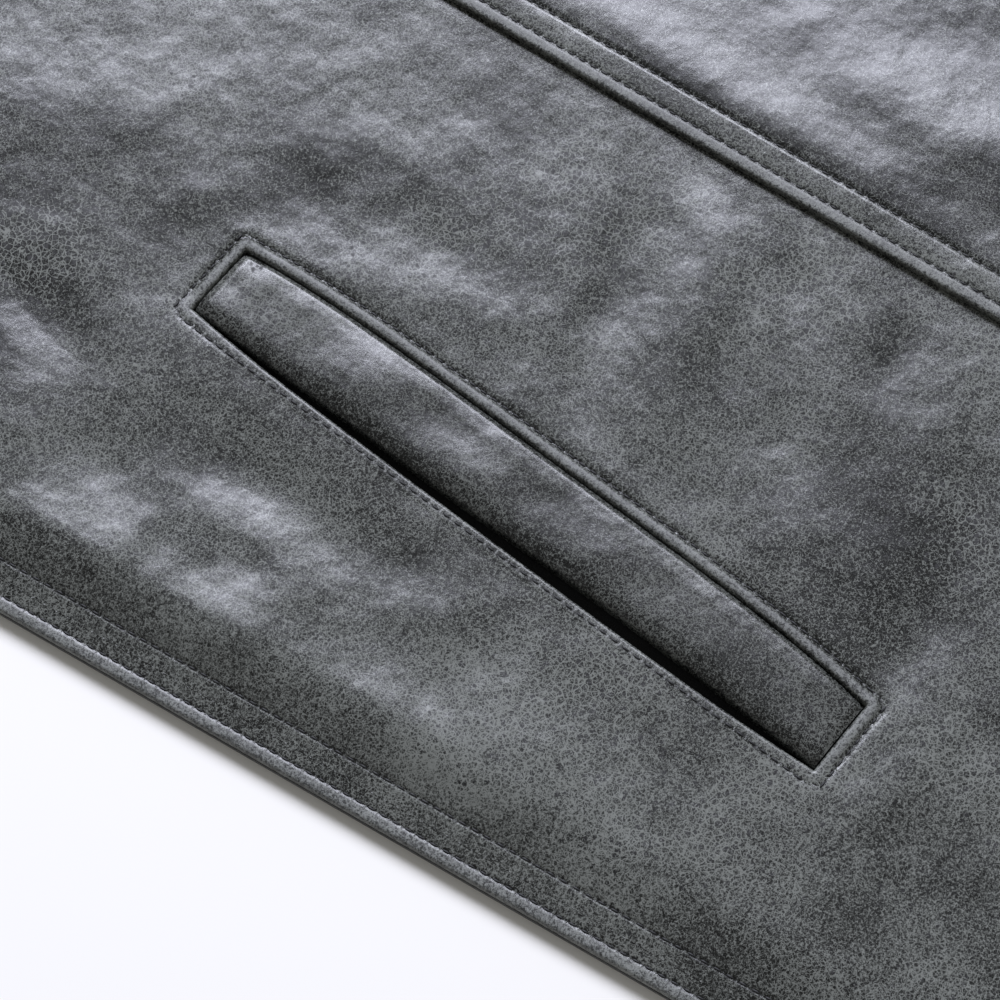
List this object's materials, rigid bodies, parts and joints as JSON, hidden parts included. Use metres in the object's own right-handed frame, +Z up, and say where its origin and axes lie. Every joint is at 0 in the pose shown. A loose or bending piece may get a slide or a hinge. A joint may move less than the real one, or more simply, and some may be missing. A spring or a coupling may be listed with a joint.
{
  "type": "leather vest",
  "caption": "Sleeveless V-neck leather vest laid flat, with lapped front seams, snap closure and slanted single-welt hand pockets.",
  "frame": {"origin": "middle of the vest's footprint on the surface that it lies on, at the underside of the back panel", "axes": "+Y from the hem towards the neck, +Z up out of the surface and through the fronts, +X to the viewer's right, which is the wearer's left"},
  "size_m": [0.53, 0.64, 0.0127],
  "materials": {
    "leather": "satin, distressed, with a fine crackled grain",
    "pocketing": "matte woven pocket cloth",
    "snap": "aged satin metal",
    "thread": "black bonded sewing thread"
  },
  "bodies": {
    "root": {"back": "leather", "side_front_right": "leather", "side_front_left": "leather", "centre_front_right": "leather", "centre_front_left": "leather", "welt_right": "leather", "welt_left": "leather", "pocket_bag_right": "pocketing", "pocket_bag_left": "pocketing", "snap_1": "snap", "snap_2": "snap", "snap_3": "snap", "snap_4": "snap"}
  },
  "joints": []
}
